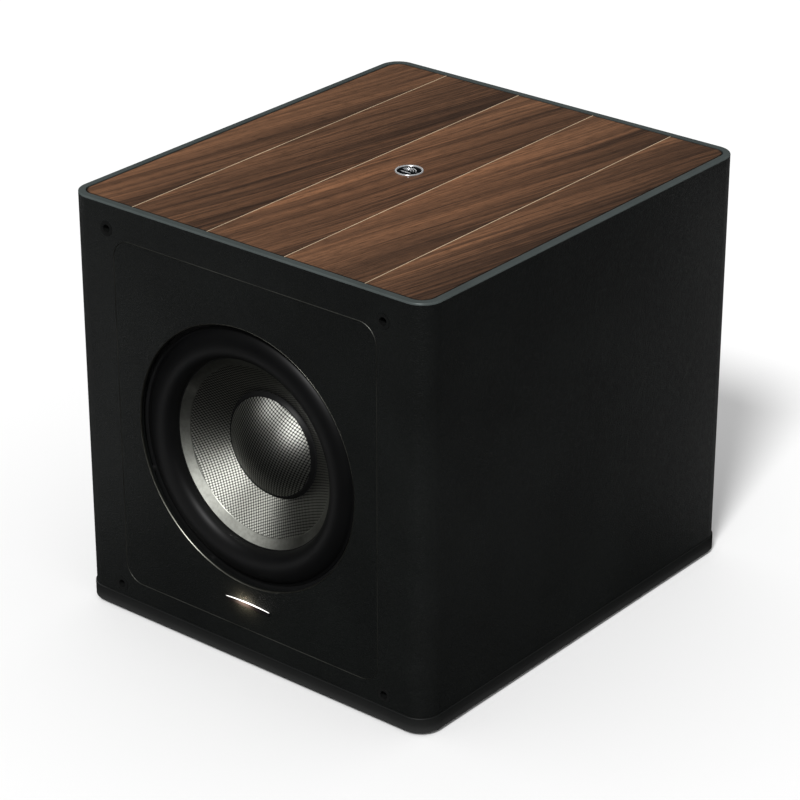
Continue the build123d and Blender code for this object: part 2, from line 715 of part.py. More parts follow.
def fuse_drawer():
    y0 = AMP_Y + AMP_T
    x = INLET_X
    tray = block(x - 10.0, x + 10.0, 186.0, y0 + 1.8, FUSE_Z - 3.0, FUSE_Z + 3.0)
    tray -= block(x - 8.0, x + 8.0, 189.0, 205.0, FUSE_Z - 2.0, FUSE_Z + 4.0)
    pull = block(x - 10.0, x + 10.0, y0 + 1.8, y0 + 3.0, FUSE_Z - 3.0, FUSE_Z + 3.0)
    return tray + pull - block(x - 4.0, x + 4.0, y0 + 2.2, y0 + 4, FUSE_Z - 0.6, FUSE_Z + 0.6)


def rocker_bezel():
    x, z, y0 = ROCKER_X, ROCKER_Z, AMP_Y + AMP_T
    body = slab_y(Rectangle(15.2, 23.2), 194.0, y0, x, z)
    body += slab_y(RectangleRounded(19.0, 27.0, 2.0), y0, y0 + 1.4, x, z)
    body -= block(x - 6.2, x + 6.2, 195.4, y0 + 3, z - 10.3, z + 10.3)
    hole = Pos(x, ROCKER_Y, z) * Rot(0, 90, 0) * Cylinder(1.35, 14.6)
    return body - hole


def power_rocker():
    """Paddle pivoting on two stubs, resting in its off position."""
    back, front, ridge = -5.0, 5.6, 4.4
    half = math.sqrt(ROCKER_R ** 2 - front ** 2)
    paddle = Rot(0, 90, 0) * Cylinder(ROCKER_R, ROCKER_W)
    keep = Wire.make_polygon([(0, back, -12), (0, back, 12), (0, front + 0.5, 12), (0, front, half),
                              (0, ridge, 0), (0, front, -half), (0, front + 0.5, -12)], close=True)
    paddle = paddle & (Pos(-10, 0, 0) * extrude(Face(keep), 20.0, dir=(1, 0, 0)))
    paddle += Rot(0, 90, 0) * Cylinder(1.3, 14.2)
    return Pos(ROCKER_X, ROCKER_Y, ROCKER_Z) * Rot(ROCKER_TILT, 0, 0) * paddle


def amp_board():
    """Circuit board with its four spacers."""
    board = block(-92, 92, 190.4, 192.0, 138.0, 224.0)
    for x in (-88.0, 88.0):
        for z in (142.0, 192.0):
            board += rod_y(2.6, 192.0, AMP_Y, x, z)
    return board


def capacitors():
    caps = Part()
    for x in (-62.0, -26.0):
        cap = rod_y(15.0, 146.0, 190.4, x, 190.0)
        caps += fillet(cap.edges().group_by(Axis.Y)[0], 1.5)
    return caps


def transformer():
    ring = ring_y(44.0, 14.0, 162.0, AMP_Y, 0, 272.0)
    ring = fillet(ring.edges().filter_by(GeomType.CIRCLE).group_by(Axis.Y)[0], 6.0)
    return ring


def transformer_clamp():
    y_end = AMP_Y + AMP_T
    clamp = rod_y(30.0, 160.2, 162.0, 0, 272.0) + rod_y(2.5, 157.0, y_end, 0, 272.0)
    return clamp + rod_y(4.6, y_end, y_end + 3.0, 0, 272.0)


NODES = {
    "base_plinth": base_plinth,
    "rubber_feet": rubber_feet,
    "foot_screws": foot_screws,
    "left_side_panel": lambda: side_panel(-1),
    "right_side_panel": lambda: side_panel(1),
    "bottom_board": bottom_board,
    "top_board": top_board,
    "front_baffle": front_baffle,
    "back_panel": back_panel,
    "internal_brace": internal_brace,
    "damping_felt": damping_felt,
    "leather_wrap": leather_wrap,
    "top_trim_frame": top_trim_frame,
    "veneer_carrier": veneer_carrier,
    "walnut_planks": walnut_planks,
    "inlay_strips": inlay_strips,
    "badge_ring": badge_ring,
    "badge_disc": badge_disc,
    "badge_motif": badge_motif,
    "front_panel": front_panel,
    "light_bar": light_bar,
    "light_lens": light_lens,
    "grille_sockets": grille_sockets,
    "driver_basket": driver_basket,
    "driver_gasket": driver_gasket,
    "driver_screws": driver_screws,
    "surround": surround,
    "cone": cone,
    "cone_edge_band": cone_edge_band,
    "dust_cap": dust_cap,
    "voice_coil_former": voice_coil_former,
    "voice_coil_winding": voice_coil_winding,
    "spider": spider,
    "top_plate": top_plate,
    "magnet": magnet,
    "back_plate_pole": back_plate_pole,
    "magnet_boot": magnet_boot,
    "terminal_block": terminal_block,
    "amp_plate": amp_plate,
    "amp_gasket": amp_gasket,
    "amp_screws": amp_screws,
    "heat_sink": heat_sink,
    "volume_knob": lambda: knob(KNOB_X[0]),
    "crossover_knob": lambda: knob(KNOB_X[1]),
    "potentiometers": potentiometers,
    "phase_slider": lambda: slider(SWITCH_X[0] - SLIDE_TRAVEL / 2),
    "standby_slider": lambda: slider(SWITCH_X[1]),
    "switch_bodies": switch_bodies,
    "rca_shells": rca_shells,
    "rca_insulators": rca_insulators,
    "mains_inlet": mains_inlet,
    "fuse_drawer": fuse_drawer,
    "rocker_bezel": rocker_bezel,
    "power_rocker": power_rocker,
    "inlet_pins": inlet_pins,
    "status_led": status_led,
    "amp_board": amp_board,
    "capacitors": capacitors,
    "transformer": transformer,
    "transformer_clamp": transformer_clamp,
}

os.makedirs("parts", exist_ok=True)
for node, make in NODES.items():
    export_step(make(), f"parts/{node}.step")
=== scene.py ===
import bpy
import bmesh
import json
import math
import numpy as np
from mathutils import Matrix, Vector

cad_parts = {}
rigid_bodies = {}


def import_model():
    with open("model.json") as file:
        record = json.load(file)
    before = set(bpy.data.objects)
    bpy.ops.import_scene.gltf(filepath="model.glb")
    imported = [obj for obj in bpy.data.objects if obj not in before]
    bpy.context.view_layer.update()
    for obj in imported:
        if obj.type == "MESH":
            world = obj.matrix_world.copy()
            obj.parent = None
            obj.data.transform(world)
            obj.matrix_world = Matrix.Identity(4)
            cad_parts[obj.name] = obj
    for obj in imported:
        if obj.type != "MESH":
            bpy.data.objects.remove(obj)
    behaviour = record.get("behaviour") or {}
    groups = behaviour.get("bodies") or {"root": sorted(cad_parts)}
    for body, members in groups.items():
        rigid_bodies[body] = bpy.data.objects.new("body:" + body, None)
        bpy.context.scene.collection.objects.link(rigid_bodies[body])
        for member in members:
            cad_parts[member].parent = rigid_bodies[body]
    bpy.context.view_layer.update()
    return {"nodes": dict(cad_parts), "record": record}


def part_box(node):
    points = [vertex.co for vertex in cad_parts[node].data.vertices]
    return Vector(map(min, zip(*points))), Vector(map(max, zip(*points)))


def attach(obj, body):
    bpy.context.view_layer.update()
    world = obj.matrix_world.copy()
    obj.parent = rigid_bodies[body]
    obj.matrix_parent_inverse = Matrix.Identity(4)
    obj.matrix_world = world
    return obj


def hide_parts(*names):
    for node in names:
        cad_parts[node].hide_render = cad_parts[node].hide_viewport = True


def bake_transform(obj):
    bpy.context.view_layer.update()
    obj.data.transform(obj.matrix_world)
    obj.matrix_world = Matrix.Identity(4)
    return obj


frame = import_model()
nodes = frame["nodes"]

scene = bpy.context.scene
scene.view_settings.view_transform = "Standard"


def middle(node, axis):
    low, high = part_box(node)
    return (low[axis] + high[axis]) / 2


# ---- measures ----
MM = 1000.0  # millimetres in a metre
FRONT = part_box("front_panel")[0][1]  # y of the front plane
DRIVER_Z = middle("surround", 2)
DRIVER = (0, -0.2, DRIVER_Z)  # where the driver's lamps aim

# The driver's pieces are given in mm, as a radius and a depth behind the front plane.
CONE_EDGE_R, CONE_EDGE_DEPTH, CONE_SLOPE = 88.8, 11.6, 0.63
CONE_INNER_R, CONE_THICK = 25.5, 1.2
BAND_OUTER_R, BAND_INNER_R = 86.7, 78.2
ROLL_R, ROLL_DEPTH, ROLL_HALF_WIDTH = 101.8, 13.2, 14.8
CAP_R, CAP_RISE, CAP_FOOT_DEPTH = 45.6, 13.6, 33.2
WELD_DISTANCE = 1e-6

# The planks' edges across the top, and what is added to seed and tone at each plank's left edge.
PLANK_EDGES = (-0.188, -0.127, -0.0423, 0.0423, 0.127, 0.188)
PLANK_SEED_STEPS = (0.13, 0.37, 0.91, 0.53, 0.71)
PLANK_TONE_STEPS = (0.030, -0.050, 0.040, 0.005, -0.035)
PLANK_CORNER_R = 0.0122

RCA_SPLIT_X = -0.062  # the two colours of socket lie on either side of it
BOLT_Z = 0.272

# The camera was fitted to the photograph.
CAMERA_AT = (1.5261, -1.8791, 1.3365)
CAMERA_VIEW = (-0.5706, 0.6979, -0.4329)
CAMERA_LENS, SENSOR_WIDTH, CAMERA_REACH = 135.04, 36.0, 50.0

FLOOR_REACH = 9
WORLD_SEEN, WORLD_FILL, WORLD_REST = 0.963, 0.62, 0.007  # for camera, diffuse and other rays


# ---- camera, lamps and bare meshes ----
def link_object(name, data):
    obj = bpy.data.objects.new(name, data)
    scene.collection.objects.link(obj)
    return obj


def aim_along(obj, direction):
    obj.rotation_mode = "QUATERNION"
    obj.rotation_quaternion = Vector(direction).to_track_quat("-Z", "Y")


def add_camera():
    data = bpy.data.cameras.new("camera")
    data.sensor_width = SENSOR_WIDTH
    data.lens = CAMERA_LENS
    data.clip_end = CAMERA_REACH
    camera = link_object("camera", data)
    camera.location = CAMERA_AT
    aim_along(camera, CAMERA_VIEW)
    scene.camera = camera


def add_sun(name, direction, power, degrees):
    data = bpy.data.lights.new(name, "SUN")
    data.energy = power
    data.angle = math.radians(degrees)
    aim_along(link_object(name, data), direction)


def add_area(name, spot, aim, size, power, pieces, diffuse):
    """Small studio lamp, kept to the pieces it is meant for. diffuse: their diffuse rays meet it."""
    data = bpy.data.lights.new(name, "AREA")
    data.shape = "RECTANGLE"
    data.size, data.size_y = size
    data.energy = power
    lamp = link_object(name, data)
    lamp.location = spot
    aim_along(lamp, Vector(aim) - Vector(spot))
    lamp.visible_camera = False
    lamp.visible_diffuse = diffuse
    group = bpy.data.collections.new("lit_" + name)
    for piece in pieces:
        group.objects.link(piece)
    lamp.light_linking.receiver_collection = group


def new_mesh(name, verts, faces):
    mesh = bpy.data.meshes.new(name)
    mesh.from_pydata([tuple(v) for v in verts], [], faces)
    mesh.update()
    return link_object(name, mesh)


# ---- materials ----
def material(name):
    m = bpy.data.materials.new(name)
    m.use_nodes = True
    tree = m.node_tree
    tree.nodes.clear()
    out = tree.nodes.new("ShaderNodeOutputMaterial")
    shader = tree.nodes.new("ShaderNodeBsdfPrincipled")
    tree.links.new(shader.outputs[0], out.inputs["Surface"])
    return m, tree, shader


def add(tree, kind, inputs=None, **settings):
    node = tree.nodes.new("ShaderNode" + kind)
    for key, value in settings.items():
        setattr(node, key, value)
    for key, value in (inputs or {}).items():
        socket = node.inputs[key]
        if isinstance(value, bpy.types.NodeSocket):
            tree.links.new(value, socket)
        else:
            socket.default_value = value
    return node


def put(tree, shader, **values):
    for key, value in values.items():
        socket = shader.inputs[key.replace("_", " ")]
        if isinstance(value, bpy.types.NodeSocket):
            tree.links.new(value, socket)
        elif socket.type == "RGBA" and len(value) == 3:
            socket.default_value = (*value, 1)
        else:
            socket.default_value = value


def place(tree, scale=(1, 1, 1), turn=(0, 0, 0), shift=(0, 0, 0)):
    coords = tree.nodes.new("ShaderNodeTexCoord")
    return add(tree, "Mapping", {"Vector": coords.outputs["Object"], "Scale": scale,
                                 "Rotation": turn, "Location": shift}).outputs[0]


def maths(tree, operation, a, b=None, clamp=False):
    inputs = {0: a}
    if b is not None:
        inputs[1] = b
    return add(tree, "Math", inputs, operation=operation, use_clamp=clamp).outputs[0]


def noise(tree, vector, scale, detail=2.0, rough=0.5):
    return add(tree, "TexNoise", {"Vector": vector, "Scale": scale, "Detail": detail,
                                  "Roughness": rough}).outputs["Fac"]


def ramp(tree, value, stops):
    node = add(tree, "ValToRGB", {"Fac": value})
    band = node.color_ramp
    while len(band.elements) < len(stops):
        band.elements.new(0.5)
    for element, (at, colour) in zip(band.elements, stops):
        element.position = at
        element.color = (*colour, 1)
    return node.outputs["Color"]


def span(tree, value, low_in, high_in, low_out, high_out):
    return add(tree, "MapRange", {"Value": value, "From Min": low_in, "From Max": high_in,
                                  "To Min": low_out, "To Max": high_out}).outputs[0]


def bump(tree, shader, height, distance, strength=1.0):
    node = add(tree, "Bump", {"Height": height, "Distance": distance, "Strength": strength})
    tree.links.new(node.outputs[0], shader.inputs["Normal"])


def leather(name, tint=(1.0, 1.0, 1.0)):
    """Black hide: irregular pebbles parted by fine creases that are darkened with painted shade, and a
    duller bloom in patches.
    """
    m, t, s = material(name)
    base = place(t)
    warp = add(t, "TexNoise", {"Vector": base, "Scale": 160.0, "Detail": 2.0})
    moved = add(t, "MixRGB", {"Fac": 0.0035, "Color1": base, "Color2": warp.outputs["Color"]},
                blend_type="ADD").outputs[0]
    cells = add(t, "TexVoronoi", {"Vector": moved, "Scale": 520.0}, feature="DISTANCE_TO_EDGE")
    crease = span(t, cells.outputs["Distance"], 0.0, 0.16, 0.0, 1.0)
    fine = noise(t, base, 1900.0, 3.0, 0.6)
    folds = noise(t, base, 260.0, 4.0, 0.6)
    height = maths(t, "MULTIPLY_ADD", crease, 0.62)
    t.links.new(maths(t, "MULTIPLY", fine, 0.22), height.node.inputs[2])
    height = maths(t, "ADD", height, maths(t, "MULTIPLY", folds, 0.5))
    patch = noise(t, base, 9.0, 3.0, 0.55)
    dark, pale = [tuple(c * k for c in tint) for k in (0.0040, 0.0066)]
    colour = ramp(t, patch, [(0.3, dark), (0.7, pale)])
    # painted shade: the creases are darkened towards near black
    colour = add(t, "MixRGB", {"Fac": span(t, crease, 0.0, 1.0, 0.45, 0.0), "Color1": colour,
                               "Color2": (0.004, 0.004, 0.004, 1)}).outputs[0]
    put(t, s, Base_Color=colour, Roughness=span(t, folds, 0.3, 0.7, 0.50, 0.64),
        Specular_IOR_Level=0.25)
    bump(t, s, height, 0.00028, 0.80)
    return m


def walnut(name):
    """Dark figured walnut. The grain runs a little askew in every plank and waves along it."""
    m, t, s = material(name)
    coords = t.nodes.new("ShaderNodeTexCoord").outputs["Object"]
    split = add(t, "SeparateXYZ", {0: coords})
    x, y = split.outputs[0], split.outputs[1]
    past = [maths(t, "GREATER_THAN", x, edge) for edge in PLANK_EDGES[:-1]]

    def stepped(steps):
        """Adds up one step at each plank edge passed."""
        total = 0.0
        for is_past, step in zip(past, steps):
            total = maths(t, "ADD", maths(t, "MULTIPLY", is_past, step), total)
        return total

    def steps_of(values):
        return [value - before for before, value in zip((0.0, *values), values)]

    def distance(a, b):
        squares = maths(t, "ADD", maths(t, "POWER", a, 2.0), maths(t, "POWER", b, 2.0))
        return maths(t, "SQRT", squares)

    def past_corner(value, edge):
        """How far a point lies outside the middle of the rounded corner."""
        over = maths(t, "SUBTRACT", maths(t, "ABSOLUTE", value), edge - PLANK_CORNER_R)
        return maths(t, "MAXIMUM", over, 0.0)

    shift, level = stepped(PLANK_SEED_STEPS), stepped(PLANK_TONE_STEPS)
    left = stepped(steps_of(PLANK_EDGES[:-1]))
    wide = stepped(steps_of([b - a for a, b in zip(PLANK_EDGES, PLANK_EDGES[1:])]))
    across_plank = maths(t, "DIVIDE", maths(t, "SUBTRACT", x, left), wide, clamp=True)
    seed = maths(t, "MULTIPLY", shift, 7.3)
    wave_at = add(t, "CombineXYZ", {0: maths(t, "ADD", maths(t, "MULTIPLY", x, 4.0), seed),
                                    1: maths(t, "MULTIPLY", y, 5.0), 2: seed}).outputs[0]
    wander = maths(t, "SUBTRACT", noise(t, wave_at, 1.0, 2.0, 0.45), 0.5)
    across = maths(t, "SUBTRACT", x, maths(t, "MULTIPLY", y, 0.19))
    across = maths(t, "ADD", across, maths(t, "MULTIPLY", wander, 0.015))

    def figure(fx, fy, detail, rough):
        """Noise drawn out along the grain: fx is its fineness across it, fy along it."""
        vector = add(t, "CombineXYZ", {0: maths(t, "MULTIPLY", across, fx),
                                       1: maths(t, "MULTIPLY", y, fy), 2: seed}).outputs[0]
        return noise(t, vector, 1.0, detail, rough)

    broad = figure(46.0, 1.0, 2.0, 0.5)
    streak = figure(300.0, 2.2, 3.0, 0.6)
    fine = figure(1050.0, 6.0, 3.0, 0.65)
    pores = figure(1500.0, 70.0, 2.0, 0.6)
    tone = maths(t, "ADD", maths(t, "MULTIPLY", broad, 0.30), maths(t, "MULTIPLY", streak, 0.33))
    tone = maths(t, "ADD", tone, maths(t, "MULTIPLY", fine, 0.37))
    tone = maths(t, "ADD", tone, span(t, across_plank, 0.0, 1.0, 0.058, -0.050))
    tone = maths(t, "ADD", tone, level)
    colour = ramp(t, tone, [(0.37, (0.035, 0.0200, 0.0135)), (0.44, (0.060, 0.0320, 0.0195)),
                            (0.50, (0.100, 0.0500, 0.0275)), (0.57, (0.155, 0.0750, 0.0390)),
                            (0.66, (0.250, 0.1180, 0.0580))])
    # painted highlight: a warm, paler sheen painted onto the top round a point right of the middle
    sheen_distance = distance(maths(t, "MULTIPLY", maths(t, "SUBTRACT", x, 0.02), 6.5),
                          maths(t, "MULTIPLY", maths(t, "ADD", y, 0.02), 5.2))
    painted_sheen = span(t, sheen_distance, 0.0, 1.0, 0.45, 0.0)
    colour = add(t, "MixRGB", {"Fac": painted_sheen, "Color1": colour, "Color2": (1.32, 1.18, 1.08, 1)},
                 blend_type="MULTIPLY").outputs[0]
    pits = span(t, pores, 0.36, 0.50, 0.0, 1.0)
    colour = add(t, "MixRGB", {"Fac": span(t, pits, 0.0, 1.0, 0.50, 0.0), "Color1": colour,
                               "Color2": (0.020, 0.012, 0.008, 1)}).outputs[0]
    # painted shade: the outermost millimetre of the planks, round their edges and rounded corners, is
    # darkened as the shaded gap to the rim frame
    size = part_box("walnut_planks")[1]
    reach = distance(past_corner(x, size[0]), past_corner(y, size[1]))
    colour = add(t, "MixRGB", {"Fac": span(t, reach, 0.0108, 0.0118, 0.0, 0.85), "Color1": colour,
                               "Color2": (0.006, 0.004, 0.003, 1)}).outputs[0]
    put(t, s, Base_Color=colour, Roughness=span(t, streak, 0.3, 0.7, 0.52, 0.42),
        Specular_IOR_Level=0.30)
    bump(t, s, pits, 0.00008, 0.5)
    return m


def weave(name, turn, pitch, bright, dark, rough):
    """Plain-woven glass cloth under resin: raised threads, two ways, and a colour that follows thread
    height, painted highlight on the raised threads and painted shade in the dark pockets between.
    """
    m, t, s = material(name)
    spun = place(t, turn=(0, turn, 0))
    split = add(t, "SeparateXYZ", {0: spun})
    u = maths(t, "DIVIDE", split.outputs[0], pitch)
    v = maths(t, "DIVIDE", split.outputs[2], pitch)
    cell_u, cell_v = maths(t, "FLOOR", u), maths(t, "FLOOR", v)
    a = maths(t, "SUBTRACT", maths(t, "SUBTRACT", u, cell_u), 0.5)
    b = maths(t, "SUBTRACT", maths(t, "SUBTRACT", v, cell_v), 0.5)
    parity = maths(t, "PINGPONG", maths(t, "ADD", cell_u, cell_v), 1.0)

    def thread(across, along):
        """Round across the thread, arched along it."""
        width = maths(t, "MULTIPLY", maths(t, "ABSOLUTE", across), 2.12)
        left_over = maths(t, "SUBTRACT", 1.0, maths(t, "POWER", width, 2.0), clamp=True)
        section = maths(t, "SQRT", left_over)
        arch = maths(t, "COSINE", maths(t, "MULTIPLY", along, 2.5))
        return maths(t, "MULTIPLY", section, arch)

    first, second = thread(a, b), thread(b, a)
    swap = maths(t, "MULTIPLY", maths(t, "SUBTRACT", second, first), parity)
    height = maths(t, "ADD", first, swap)
    fibre = noise(t, spun, 2600.0, 2.0)
    # painted light: the colour follows thread height, a painted highlight on the raised threads and
    # painted shade in the pockets, with fibre noise for real variation
    shade = maths(t, "ADD", height, maths(t, "MULTIPLY", maths(t, "SUBTRACT", fibre, 0.5), 0.35))
    colour = ramp(t, shade, [(0.30, dark), (0.78, bright)])
    put(t, s, Base_Color=colour, Roughness=span(t, fibre, 0.3, 0.7, rough, rough + 0.08),
        Metallic=1.0)
    bump(t, s, height, pitch * 0.035, 1.0)
    return m


def plinth_paint(name):
    """Matt black plinth, painted paler towards its lower edge as the floor lights it in the photograph."""
    m, t, s = material(name)
    base = place(t)
    up = add(t, "SeparateXYZ", {0: base}).outputs[2]
    uneven = maths(t, "ADD", up, maths(t, "MULTIPLY", noise(t, base, 40.0, 3.0), 0.002))
    paler = span(t, uneven, 0.004, 0.019, 1.0, 0.0)
    tone = ramp(t, paler, [(0.0, (0.0060, 0.0066, 0.0064)), (0.5, (0.0110, 0.0115, 0.0112)),
                           (1.0, (0.0270, 0.0275, 0.0270))])
    put(t, s, Base_Color=tone, Roughness=span(t, noise(t, base, 14.0), 0.3, 0.7, 0.50, 0.60),
        Specular_IOR_Level=0.3)
    bump(t, s, noise(t, base, 700.0, 3.0, 0.55), 0.00004, 0.6)
    return m


def satin(name, colour, rough, grain=900.0, depth=0.00003, metallic=0.0, vary=0.12, specular=0.5,
          coat=0.0):
    """Moulded, painted or coated surface: fine texture, slight tone and sheen changes."""
    m, t, s = material(name)
    base = place(t)
    fine = noise(t, base, grain, 3.0, 0.55)
    broad = noise(t, base, 14.0, 3.0, 0.6)
    tone = ramp(t, broad, [(0.3, tuple(c * (1 - vary) for c in colour)),
                           (0.7, tuple(c * (1 + vary) for c in colour))])
    put(t, s, Base_Color=tone, Roughness=span(t, broad, 0.3, 0.7, rough - 0.04, rough + 0.05),
        Metallic=metallic, Specular_IOR_Level=specular)
    if coat:
        put(t, s, Coat_Weight=coat, Coat_Roughness=0.08)
    bump(t, s, fine, depth, 0.6)
    return m


def brushed(name, colour, rough, scale=(40, 40, 1600), depth=0.00002, metallic=1.0):
    """Metal with fine parallel lines and faint smears."""
    m, t, s = material(name)
    lines = noise(t, place(t, scale=scale), 1.0, 3.0, 0.6)
    smear = noise(t, place(t), 26.0, 3.0, 0.6)
    tone = ramp(t, lines, [(0.3, tuple(c * 0.86 for c in colour)),
                           (0.7, tuple(min(1, c * 1.12) for c in colour))])
    put(t, s, Base_Color=tone, Roughness=span(t, smear, 0.3, 0.7, rough - 0.05, rough + 0.07),
        Metallic=metallic)
    bump(t, s, lines, depth, 0.6)
    return m


def fibreboard(name):
    """Pressed wood fibre, as on the cut edges of the carcass."""
    m, t, s = material(name)
    fibre = noise(t, place(t, scale=(900, 900, 2400)), 1.0, 4.0, 0.65)
    blotch = noise(t, place(t), 60.0, 3.0)
    tone = maths(t, "ADD", maths(t, "MULTIPLY", fibre, 0.6), maths(t, "MULTIPLY", blotch, 0.4))
    colour = ramp(t, tone, [(0.35, (0.24, 0.155, 0.085)), (0.65, (0.40, 0.29, 0.18))])
    put(t, s, Base_Color=colour, Roughness=0.85)
    bump(t, s, fibre, 0.0001, 0.5)
    return m


def cloth(name, colour, scale):
    """Coarse fabric or felt: two crossed sets of threads."""
    m, t, s = material(name)
    base = place(t)
    wave = {"Vector": base, "Scale": scale, "Distortion": 1.5}
    one_way, other_way = [add(t, "TexWave", wave, bands_direction=way).outputs["Fac"] for way in "XZ"]
    waves = maths(t, "MULTIPLY", one_way, other_way)
    tone = ramp(t, waves, [(0.0, tuple(c * 0.6 for c in colour)), (0.8, colour)])
    put(t, s, Base_Color=tone, Roughness=0.9)
    bump(t, s, waves, 0.0002, 0.6)
    return m


def glow(name):
    """Frosted light guide: brightest in the middle of the bar and fading to its ends."""
    m, t, s = material(name)
    base = place(t)
    along = maths(t, "ABSOLUTE", add(t, "SeparateXYZ", {0: base}).outputs[0])
    fall = span(t, along, 0.0, 0.025, 1.0, 0.0)
    grain = noise(t, base, 1500.0, 2.0)
    power = maths(t, "ADD", 0.75, maths(t, "MULTIPLY", maths(t, "POWER", fall, 2.0), 5.0))
    put(t, s, Base_Color=(0.80, 0.80, 0.79), Roughness=span(t, grain, 0.3, 0.7, 0.25, 0.35),
        Emission_Color=(1.0, 0.95, 0.89), Emission_Strength=power)
    return m


def two_tone(name, first, second, split, rough):
    """Moulded cores in two colours, one on each side of a line across the panel."""
    m, t, s = material(name)
    base = place(t)
    past = maths(t, "GREATER_THAN", add(t, "SeparateXYZ", {0: base}).outputs[0], split)
    tone = add(t, "MixRGB", {"Fac": past, "Color1": (*first, 1), "Color2": (*second, 1)}).outputs[0]
    patch = noise(t, base, 120.0, 3.0)
    put(t, s, Base_Color=tone, Roughness=span(t, patch, 0.3, 0.7, rough - 0.05, rough + 0.06))
    bump(t, s, noise(t, base, 1600.0, 2.0), 0.00001, 0.5)
    return m


def paint(node, mat):
    obj = nodes[node]
    obj.data.materials.clear()
    obj.data.materials.append(mat)


# ---- shapes ----
def weld(obj):
    shape = bmesh.new()
    shape.from_mesh(obj.data)
    bmesh.ops.remove_doubles(shape, verts=shape.verts, dist=WELD_DISTANCE)
    bmesh.ops.recalc_face_normals(shape, faces=shape.faces)
    shape.to_mesh(obj.data)
    shape.free()


def finish_piece(obj, mat, replaced=(), sharp=35.0, body="cabinet"):
    """A piece without a body is not attached to any."""
    weld(obj)
    obj.data.materials.append(mat)
    obj.data.shade_smooth()
    obj.data.set_sharp_from_angle(angle=math.radians(sharp))
    if body:
        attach(obj, body)
    if replaced:
        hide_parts(*replaced)


def loft(name, rings, closed=False):
    """Rings are lists of points, all of one length, joined one after the other."""
    count, total = len(rings[0]), len(rings)
    verts = [p for ring in rings for p in ring]
    faces = []
    for i in range(total if closed else total - 1):
        j = (i + 1) % total
        for k in range(count):
            n = (k + 1) % count
            faces.append((i * count + k, i * count + n, j * count + n, j * count + k))
    if not closed:
        faces.append(tuple(reversed(range(count))))
        faces.append(tuple(range((total - 1) * count, total * count)))
    return new_mesh(name, verts, faces)


def turn_rings(profile, segments, at):
    """The profile, given as (radius, height), at every step round an axis that at() places."""
    angles = [2 * math.pi * i / segments for i in range(segments)]
    return [[at(r * math.cos(a), r * math.sin(a), h) for r, h in profile] for a in angles]


# ---- turned pieces on the driver axis ----
def lathe(name, profile, body, mat, replaced=None, segments=256, sharp=32.0):
    """profile: (radius, depth behind the front plane) in mm, round the driver axis."""
    rings = turn_rings(profile, segments,
                       lambda u, v, d: (u / MM, FRONT + d / MM, DRIVER_Z + v / MM))
    obj = loft(name, rings, closed=True)
    finish_piece(obj, mat, (replaced,) if replaced else (), sharp, body)
    return obj


def cone_depth(r):
    return CONE_EDGE_DEPTH + (CONE_EDGE_R - r) * CONE_SLOPE


def ride_across(obj, hold, let_go):
    """Bakes the piece's placement into its mesh and works out, from each point's radius, a smoothed share
    between hold and let_go; nothing uses the share.
    """
    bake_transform(obj)
    radii = np.array([math.hypot(v.co.x, v.co.z - DRIVER_Z) for v in obj.data.vertices])
    share = np.clip((hold - radii) / (hold - let_go), 0, 1)
    share = share * share * (3 - 2 * share)


def make_surround():
    lip_r, lip = 86.3, cone_depth(86.2)
    steps = 44

    def roll(thick, start, end):
        """The half roll between two angles; thick: how far it lies under the outer skin."""
        points = []
        for i in range(steps + 1):
            a = math.radians(start + (end - start) * i / steps)
            points.append((ROLL_R + (ROLL_HALF_WIDTH - thick) * math.cos(a),
                           ROLL_DEPTH - (ROLL_DEPTH - thick) * max(0.0, math.sin(a)) ** 0.82))
        return points

    outer, inner = roll(0.0, 32.0, 170.0), roll(1.0, 170.0, 30.0)
    profile = [(116.6, 5.75), (115.6, 5.62), *outer, (86.9, lip - 1.15), (lip_r, lip - 0.9),
               (lip_r, lip - 0.35), *inner, (114.4, 6.45), (116.7, 6.45)]
    obj = lathe("surround_rubber", profile, None, rubber_mat, "surround", sharp=50.0)
    ride_across(obj, 0.113, 0.0885)


def make_cone():
    rings = [CONE_EDGE_R - (CONE_EDGE_R - CONE_INNER_R) * i / 40 for i in range(41)]
    front = [(r, cone_depth(r)) for r in rings]
    back = [(r, cone_depth(r) + CONE_THICK) for r in reversed(rings)]
    lathe("cone_weave", front + back, "cone_assembly", cone_mat, "cone")


def make_band():
    rings = [BAND_OUTER_R - (BAND_OUTER_R - BAND_INNER_R) * i / 8 for i in range(9)]
    front = [(r, cone_depth(r) - 0.24) for r in rings] + [(78.12, cone_depth(78.12) - 0.17)]
    back = [(r, cone_depth(r) - 0.02) for r in reversed(rings)]
    lathe("cone_band", front + back, "cone_assembly", band_mat, "cone_edge_band")


def make_cap():
    ball = (CAP_R ** 2 + CAP_RISE ** 2) / (2 * CAP_RISE)

    def dome(r, off=0.0):
        return CAP_FOOT_DEPTH - CAP_RISE + off + ball - math.sqrt(ball * ball - r * r)

    front = [(r, dome(r)) for r in np.linspace(0.0, 45.4, 44)]
    back = [(r, dome(r, 0.8)) for r in np.linspace(45.2, 0.0, 20)]
    lathe("dust_cap_weave", front + back, "cone_assembly", cap_mat, "dust_cap", sharp=60.0)
    rim = cone_depth(48.6)
    bead = [(45.0, dome(45.0) + 0.05), (45.5, dome(45.5) - 0.55), (46.3, dome(46.3) - 0.75),
            (47.3, rim - 1.05), (48.3, rim - 0.75), (49.0, rim - 0.35), (49.2, rim - 0.35),
            (48.6, rim + 0.25), (45.4, rim + 0.6)]
    lathe("dust_cap_bead", bead, "cone_assembly", rubber_mat, sharp=60.0)


